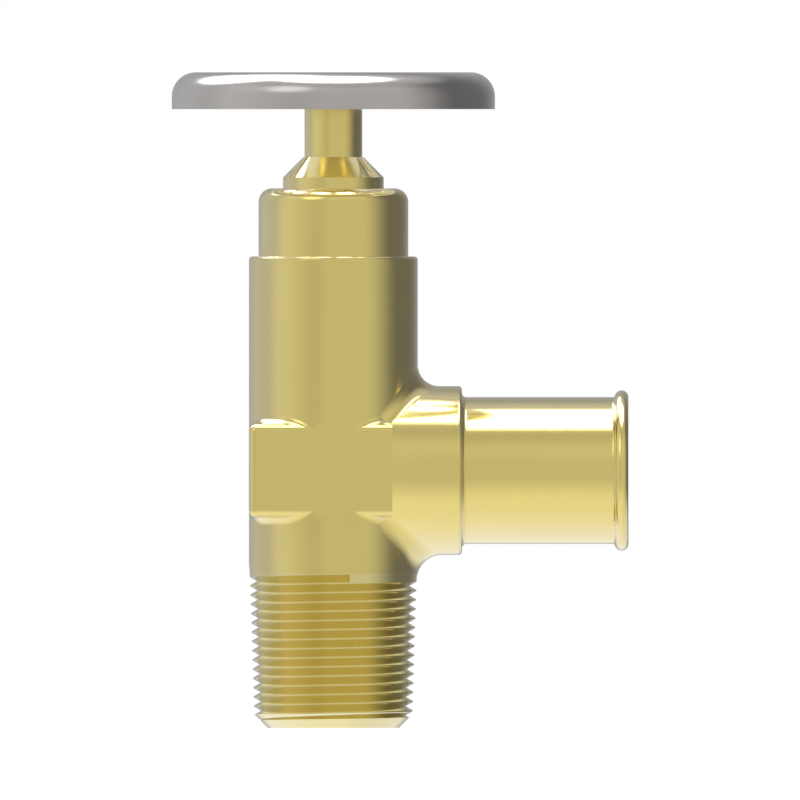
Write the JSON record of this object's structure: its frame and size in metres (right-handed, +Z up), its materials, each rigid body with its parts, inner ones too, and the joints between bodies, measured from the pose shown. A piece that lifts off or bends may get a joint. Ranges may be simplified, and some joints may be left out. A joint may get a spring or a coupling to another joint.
{
  "type": "drain valve",
  "caption": "Angle drain valve: tapered male pipe inlet at the foot, beaded hose nozzle at the side, square wrench block, and a round handwheel on a rising stem.",
  "frame": {"origin": "centre of the inlet's end face, at the foot of the tapered pipe thread", "axes": "+Z up the stem's axis towards the handwheel, +X out along the hose nozzle, +Y to the back"},
  "size_m": [0.0601, 0.0426, 0.0862],
  "materials": {
    "brass": "polished",
    "turned_brass": "fine turned",
    "rubber": "moulded, matte",
    "packing": "smooth fluoropolymer",
    "wheel_metal": "satin plated sheet",
    "plated_steel": "bright zinc plate",
    "spring_steel": "plain spring steel"
  },
  "bodies": {
    "valve": {"valve_body": "brass", "bonnet": "brass", "bonnet_o_ring": "rubber", "packing_washer": "turned_brass", "packing_ring_1": "packing", "packing_ring_2": "packing", "packing_ring_3": "packing", "gland_follower": "turned_brass", "packing_nut": "brass"},
    "disc": {"disc_holder": "turned_brass", "swivel_clip": "spring_steel", "seat_washer": "rubber", "seat_washer_retainer": "turned_brass", "seat_screw": "turned_brass"},
    "spindle": {"stem": "brass", "handwheel": "wheel_metal", "wheel_washer": "plated_steel", "lock_washer": "spring_steel", "wheel_screw": "plated_steel"}
  },
  "joints": [
    {"name": "stem_rise", "type": "slide", "parent": "valve", "child": "disc", "axis": [0, 0, 1], "range_m": [0, 0.005]},
    {"name": "handwheel_turn", "type": "hinge", "parent": "disc", "child": "spindle", "pos_m": [0, 0, 0.06], "axis": [0, 0, 1], "range_deg": [0, 900]}
  ],
  "couplings": [
    {"joint": "stem_rise", "follows": "handwheel_turn", "m_per_rad": 0.0003183}
  ]
}
